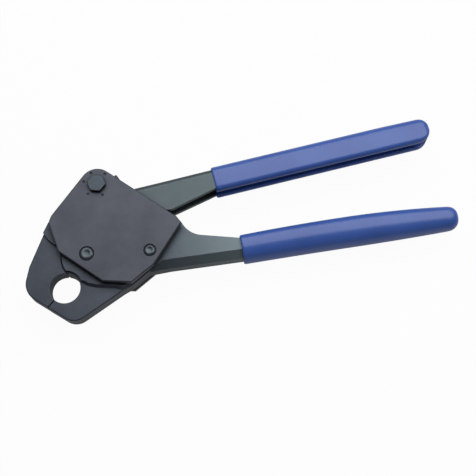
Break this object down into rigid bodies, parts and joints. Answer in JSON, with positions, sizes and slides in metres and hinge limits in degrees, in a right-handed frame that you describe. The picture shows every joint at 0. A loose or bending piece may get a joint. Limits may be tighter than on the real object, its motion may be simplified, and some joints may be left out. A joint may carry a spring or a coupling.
{
  "type": "pex crimp tool",
  "caption": "Long-handled hand crimp tool whose plated head swings a hinged jaw to close a round crimp hole around a pipe ring.",
  "frame": {"origin": "centre of the closed crimp hole, in the middle plane of the jaws", "axes": "+X from the jaws towards the handle ends, +Y towards the upper handle, +Z out of the front cover"},
  "size_m": [0.2537, 0.1261, 0.0289],
  "materials": {
    "plate_steel": "dark blue-grey oxide, satin",
    "forged_steel": "black oxide over a forged surface, satin",
    "pin_steel": "dark ground steel",
    "bolt_steel": "black oxide",
    "bush_bronze": "plain bearing bronze",
    "grip_vinyl": "royal blue dipped vinyl, half gloss"
  },
  "bodies": {
    "frame": {"fixed_jaw_handle": "forged_steel", "front_cover_plate": "plate_steel", "rear_cover_plate": "plate_steel", "lower_grip": "grip_vinyl", "jaw_pin": "pin_steel", "frame_pin": "pin_steel", "pivot_bolt": "bolt_steel", "pivot_washer": "bolt_steel", "pivot_nut": "bolt_steel", "front_thrust_washer": "bolt_steel", "rear_thrust_washer": "bolt_steel", "lock_collar": "bolt_steel", "lock_screw": "bolt_steel"},
    "lever": {"upper_lever": "forged_steel", "upper_grip": "grip_vinyl", "front_lever_bush": "bush_bronze", "rear_lever_bush": "bush_bronze", "crank_pin": "pin_steel"},
    "jaw": {"moving_jaw": "forged_steel", "jaw_bush": "bush_bronze"},
    "roller": {"crank_roller": "pin_steel"}
  },
  "joints": [
    {"name": "lever_swing", "type": "hinge", "parent": "frame", "child": "lever", "pos_m": [0.016, 0.0613, 0], "axis": [0, 0, 1], "range_deg": [0, 62]},
    {"name": "jaw_swing", "type": "hinge", "parent": "frame", "child": "jaw", "pos_m": [0.0123, 0.0191, 0], "axis": [0, 0, 1], "range_deg": [-32.2, 0]},
    {"name": "roller_spin", "type": "hinge", "parent": "lever", "child": "roller", "pos_m": [0.00659, 0.04836, 0], "axis": [0, 0, 1], "continuous": true}
  ],
  "couplings": [
    {"joint": "jaw_swing", "follows": "lever_swing", "ratio": -0.518}
  ]
}
